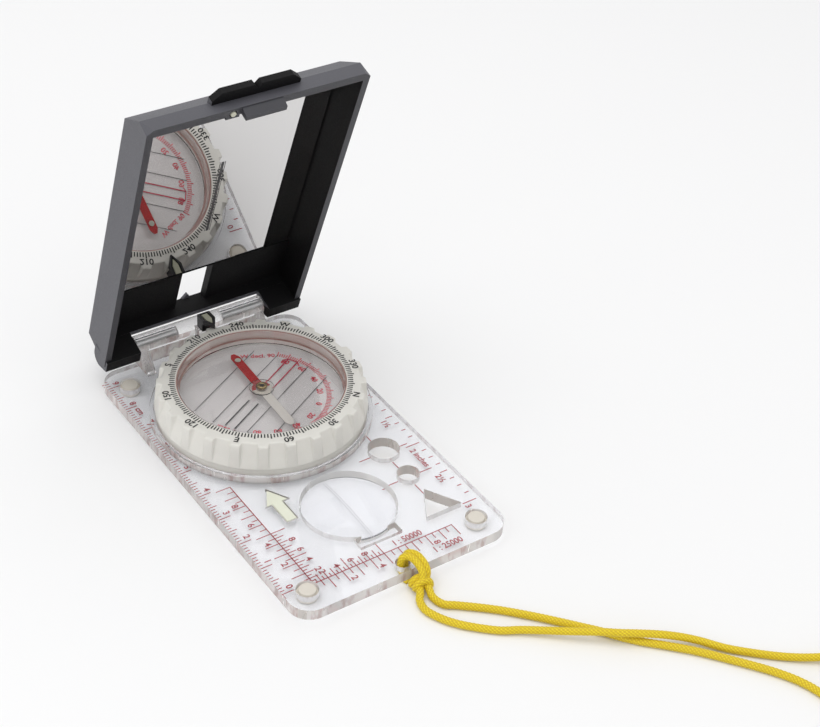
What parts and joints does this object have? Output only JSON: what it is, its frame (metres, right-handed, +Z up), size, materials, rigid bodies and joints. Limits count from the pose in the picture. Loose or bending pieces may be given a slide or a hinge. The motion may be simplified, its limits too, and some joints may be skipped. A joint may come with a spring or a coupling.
{
  "type": "mirror sighting compass",
  "caption": "Sighting compass with a clear base plate, turning bezel, liquid capsule and needle, a folding mirror lid and a braided neck cord.",
  "frame": {"origin": "on the needle's pivot axis, at the underside of the base plate", "axes": "+Z up out of the base plate, +Y towards the lid's hinge, +X to the right of a user who faces the hinge"},
  "size_m": [0.1241, 0.2183, 0.1007],
  "materials": {
    "clear_plate": "clear acrylic, polished",
    "clear_lens": "clear acrylic lens, polished",
    "clear_capsule": "clear capsule plastic, polished",
    "lume": "pale luminous paint",
    "foot_rubber": "cream rubber",
    "black_plastic": "black, satin",
    "bezel_plastic": "cream white, satin, black graduations",
    "needle_paint": "red north half, white south half",
    "cap_brass": "polished",
    "pin_steel": "bright",
    "lid_plastic": "charcoal, fine grained",
    "mirror_glass": "mirror",
    "cord_braid": "yellow braided cord"
  },
  "bodies": {
    "base": {"base_plate": "clear_plate", "magnifier_lens": "clear_lens", "direction_arrow": "lume", "foot_front_left": "foot_rubber", "foot_front_right": "foot_rubber", "foot_rear_left": "foot_rubber", "foot_rear_right": "foot_rubber", "hinge_bracket": "clear_plate", "index_pointer": "black_plastic", "index_inlay": "lume", "cord_loop": "cord_braid", "cord_knot": "cord_braid", "cord_strand_left": "cord_braid", "cord_strand_right": "cord_braid", "cord_coil": "cord_braid", "coil_tie": "black_plastic"},
    "bezel": {"bezel_ring": "bezel_plastic", "declination_disc": "clear_capsule"},
    "capsule": {"capsule_cup": "clear_capsule", "capsule_window": "clear_capsule", "pivot_post": "pin_steel"},
    "needle": {"needle_blade": "needle_paint", "needle_lume_dot": "lume", "needle_hub": "clear_capsule", "jewel_cap": "cap_brass"},
    "lid": {"lid_shell": "lid_plastic", "mirror": "mirror_glass", "lid_lume_dot": "lume", "hinge_pin_left": "pin_steel", "hinge_pin_right": "pin_steel"}
  },
  "joints": [
    {"name": "lid_hinge", "type": "hinge", "parent": "base", "child": "lid", "pos_m": [0, 0.0344, 0.0093], "axis": [1, 0, 0], "range_deg": [-109.7, 71]},
    {"name": "bezel_turn", "type": "hinge", "parent": "base", "child": "bezel", "pos_m": [0, 0, 0.0034], "axis": [0, 0, 1], "continuous": true},
    {"name": "capsule_turn", "type": "hinge", "parent": "bezel", "child": "capsule", "pos_m": [0, 0, 0.0042], "axis": [0, 0, 1], "range_deg": [-163.5, 16.5]},
    {"name": "needle_spin", "type": "hinge", "parent": "capsule", "child": "needle", "pos_m": [0, 0, 0.0078], "axis": [0, 0, 1], "continuous": true}
  ]
}
